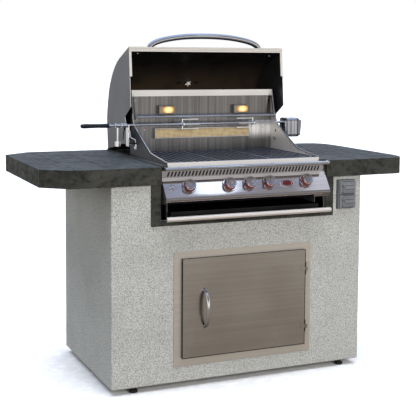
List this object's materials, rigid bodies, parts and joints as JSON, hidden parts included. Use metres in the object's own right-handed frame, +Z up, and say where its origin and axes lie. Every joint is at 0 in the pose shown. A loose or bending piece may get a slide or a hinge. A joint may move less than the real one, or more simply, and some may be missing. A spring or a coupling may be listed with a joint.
{
  "type": "outdoor kitchen island",
  "caption": "Stucco kitchen island with a tiled counter, a built-in gas grill with an open hood, a rotisserie, an access door and a covered outlet.",
  "frame": {"origin": "on the floor, under the middle of the island's whole outline", "axes": "+X to the right along the front, +Y to the back, +Z up"},
  "size_m": [1.642, 0.826, 1.4545],
  "materials": {
    "stucco": "rough cement stucco, pale grey",
    "counter_tile": "matte charcoal stone tile",
    "surround_tile": "mottled dark olive stone tile",
    "stainless_steel": "brushed stainless steel",
    "door_steel": "warm brushed stainless steel",
    "frame_steel": "pale brushed stainless steel",
    "grey_steel": "satin grey steel",
    "dark_enamel": "black heat-proof enamel",
    "red_enamel": "dark red gloss enamel",
    "chrome": "polished chrome",
    "zinc_steel": "galvanised steel",
    "foot_black": "black levelling foot",
    "black_plastic": "black moulded grip",
    "grey_plastic": "grey moulded weatherproof cover",
    "burner_ceramic": "cream burner ceramic",
    "lamp_glass": "warm lit lamp lens"
  },
  "bodies": {
    "island": {"stucco_shell": "stucco", "base_frame": "zinc_steel", "cabinet_floor": "zinc_steel", "foot_front_left": "foot_black", "foot_rear_left": "foot_black", "foot_front_right": "foot_black", "foot_rear_right": "foot_black", "countertop": "counter_tile", "grill_surround": "surround_tile", "firebox": "stainless_steel", "mounting_flange": "grey_steel", "front_ledge": "stainless_steel", "control_panel": "stainless_steel", "badge_plate": "red_enamel", "igniter_body": "chrome", "gas_manifold": "zinc_steel", "tray_runner_left": "zinc_steel", "tray_runner_right": "zinc_steel", "burner_set": "stainless_steel", "heat_shield": "grey_steel", "grate_left": "stainless_steel", "grate_middle": "stainless_steel", "grate_right": "stainless_steel", "rear_burner": "burner_ceramic", "lamp_left": "lamp_glass", "lamp_right": "lamp_glass", "warming_rack": "chrome", "hood_pivot_left": "chrome", "hood_pivot_right": "chrome", "spit_bracket_left": "chrome", "spit_bracket_right": "chrome", "rotisserie_motor": "grey_steel", "door_frame": "frame_steel", "door_hinge_lower": "chrome", "door_hinge_upper": "chrome", "outlet_box": "grey_plastic", "outlet_cover": "grey_plastic"},
    "hood": {"hood_skin": "grey_steel", "hood_liner": "dark_enamel", "hood_side_left": "grey_steel", "hood_side_right": "grey_steel", "hood_handle": "chrome", "hood_gauge": "chrome"},
    "door": {"access_door": "door_steel", "door_handle": "chrome"},
    "tray": {"drip_tray": "dark_enamel", "tray_handle": "stainless_steel"},
    "burner_knob_1": {"knob_1": "chrome"},
    "burner_knob_2": {"knob_2": "chrome"},
    "burner_knob_3": {"knob_3": "chrome"},
    "burner_knob_4": {"knob_4": "chrome"},
    "burner_knob_5": {"knob_5": "chrome"},
    "igniter": {"igniter_button": "black_plastic"},
    "spit": {"spit_rod": "chrome", "spit_grip": "black_plastic", "counterweight": "chrome", "fork_left": "chrome", "fork_right": "chrome"},
    "lower_lid": {"outlet_lid_lower": "grey_plastic"},
    "upper_lid": {"outlet_lid_upper": "grey_plastic"}
  },
  "joints": [
    {"name": "hood_hinge", "type": "hinge", "parent": "island", "child": "hood", "pos_m": [0.0295, 0.061, 0.98], "axis": [1, 0, 0], "range_deg": [0, 95]},
    {"name": "door_hinge", "type": "hinge", "parent": "island", "child": "door", "pos_m": [0.315, -0.3648, 0.33], "axis": [0, 0, 1], "range_deg": [0, 110]},
    {"name": "tray_slide", "type": "slide", "parent": "island", "child": "tray", "axis": [0, -1, 0], "range_m": [0, 0.35]},
    {"name": "knob_1_turn", "type": "hinge", "parent": "island", "child": "burner_knob_1", "pos_m": [-0.236, -0.37103, 0.83098], "axis": [0, -0.8211, 0.5708], "range_deg": [0, 210]},
    {"name": "knob_2_turn", "type": "hinge", "parent": "island", "child": "burner_knob_2", "pos_m": [-0.058, -0.37103, 0.83098], "axis": [0, -0.8211, 0.5708], "range_deg": [0, 210]},
    {"name": "knob_3_turn", "type": "hinge", "parent": "island", "child": "burner_knob_3", "pos_m": [0.033, -0.37103, 0.83098], "axis": [0, -0.8211, 0.5708], "range_deg": [0, 210]},
    {"name": "knob_4_turn", "type": "hinge", "parent": "island", "child": "burner_knob_4", "pos_m": [0.123, -0.37103, 0.83098], "axis": [0, -0.8211, 0.5708], "range_deg": [0, 210]},
    {"name": "knob_5_turn", "type": "hinge", "parent": "island", "child": "burner_knob_5", "pos_m": [0.298, -0.37103, 0.83098], "axis": [0, -0.8211, 0.5708], "range_deg": [0, 210]},
    {"name": "igniter_press", "type": "slide", "parent": "island", "child": "igniter", "axis": [0, 0.8211, -0.5708], "range_m": [0, 0.004], "stiffness_N_per_m": 400, "springref_m": -0.001},
    {"name": "spit_turn", "type": "hinge", "parent": "island", "child": "spit", "pos_m": [0.0295, 0.047, 1.053], "axis": [1, 0, 0], "continuous": true},
    {"name": "lower_lid_hinge", "type": "hinge", "parent": "island", "child": "lower_lid", "pos_m": [0.4725, -0.354, 0.7335], "axis": [0, 0, -1], "range_deg": [0, 110], "stiffness_Nm_per_rad": 0.05, "springref_deg": -17.19},
    {"name": "upper_lid_hinge", "type": "hinge", "parent": "island", "child": "upper_lid", "pos_m": [0.4725, -0.354, 0.7935], "axis": [0, 0, -1], "range_deg": [0, 110], "stiffness_Nm_per_rad": 0.05, "springref_deg": -17.19}
  ]
}
